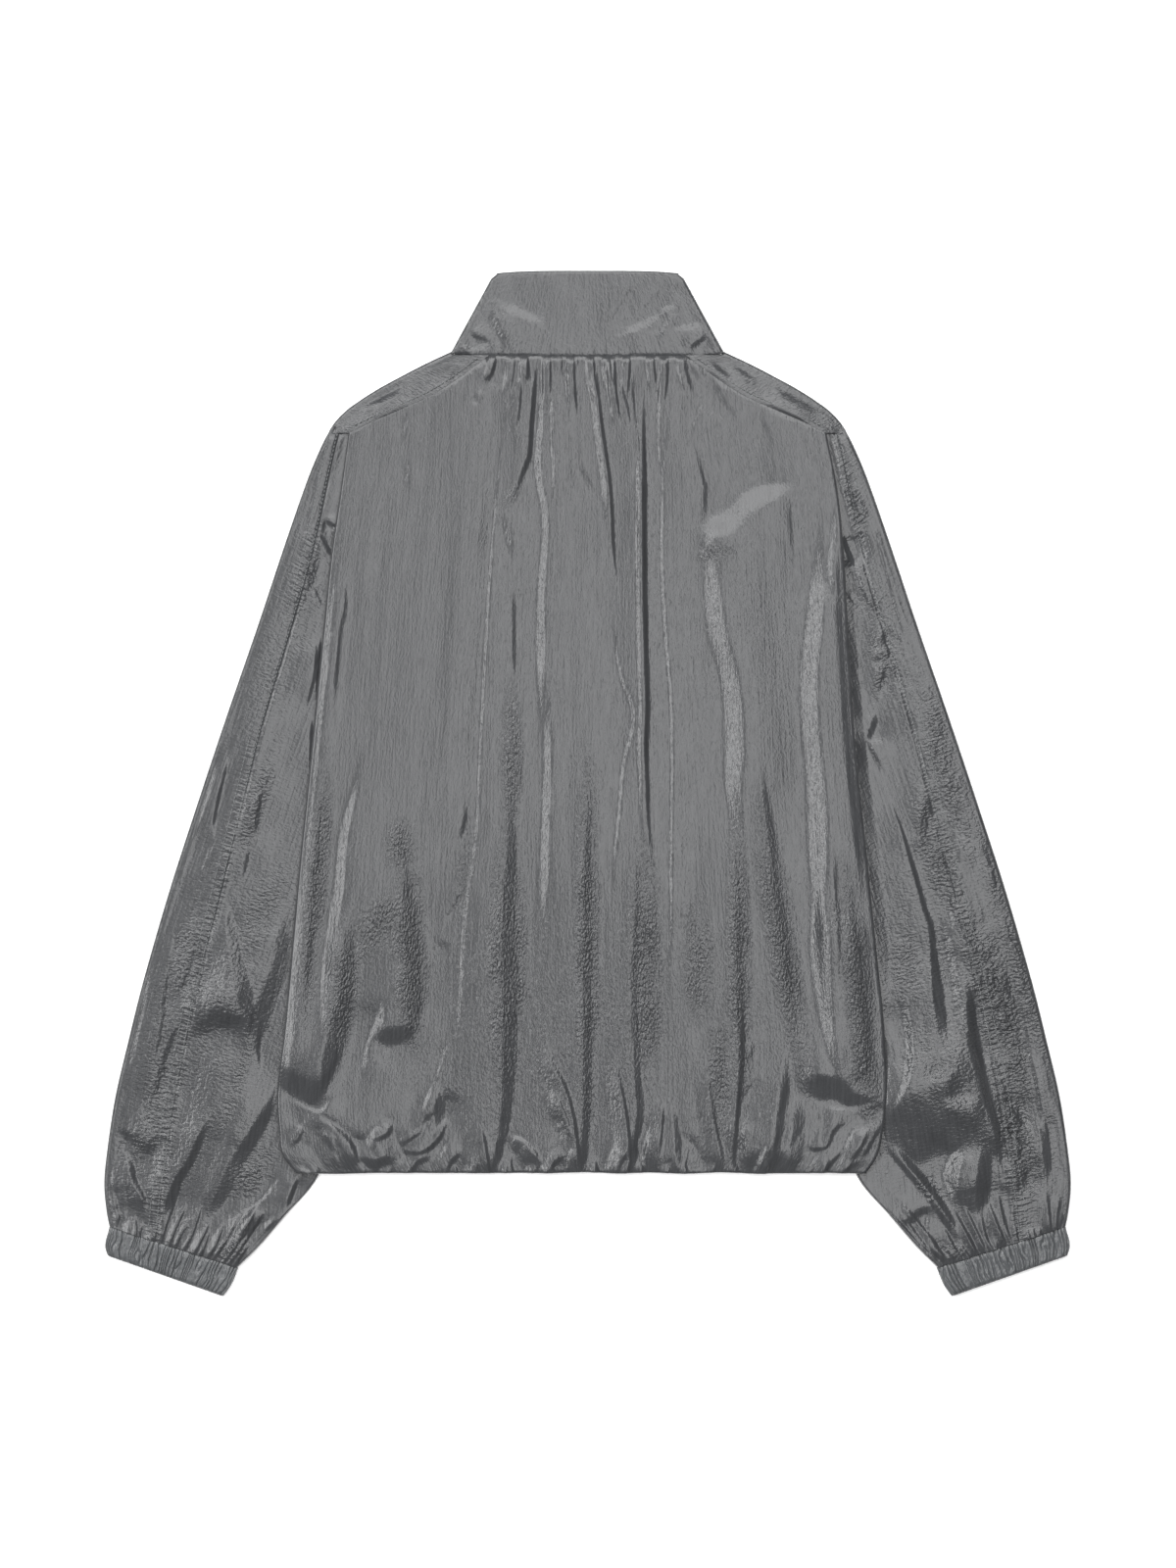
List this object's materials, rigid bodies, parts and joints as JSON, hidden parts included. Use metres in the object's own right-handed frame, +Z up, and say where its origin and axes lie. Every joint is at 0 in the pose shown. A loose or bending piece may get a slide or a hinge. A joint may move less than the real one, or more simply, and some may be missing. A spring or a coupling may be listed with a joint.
{
  "type": "nylon jacket",
  "caption": "Blouson jacket of thin crinkled nylon laid flat with its back up: stand collar, back gathered at the neck and hem, long seamed sleeves and elastic cuffs.",
  "frame": {"origin": "on the surface the jacket lies on, under the middle of its outline", "axes": "+Z up off the surface, +Y towards the collar, +X towards the wearer's right side, which is on the right as the back is seen"},
  "size_m": [0.79, 0.8376, 0.0102],
  "materials": {
    "nylon": "mid-grey crinkled nylon with a soft sheen",
    "elastic_nylon": "ribbed nylon over elastic",
    "zip_nylon": "satin moulded nylon"
  },
  "bodies": {
    "root": {"back": "nylon", "front_left": "nylon", "front_right": "nylon", "collar": "nylon", "sleeve_outer_left": "nylon", "sleeve_inner_left": "nylon", "sleeve_outer_right": "nylon", "sleeve_inner_right": "nylon", "cuff_left": "elastic_nylon", "cuff_right": "elastic_nylon", "zip_chain": "zip_nylon", "zip_slider": "zip_nylon"}
  },
  "joints": []
}
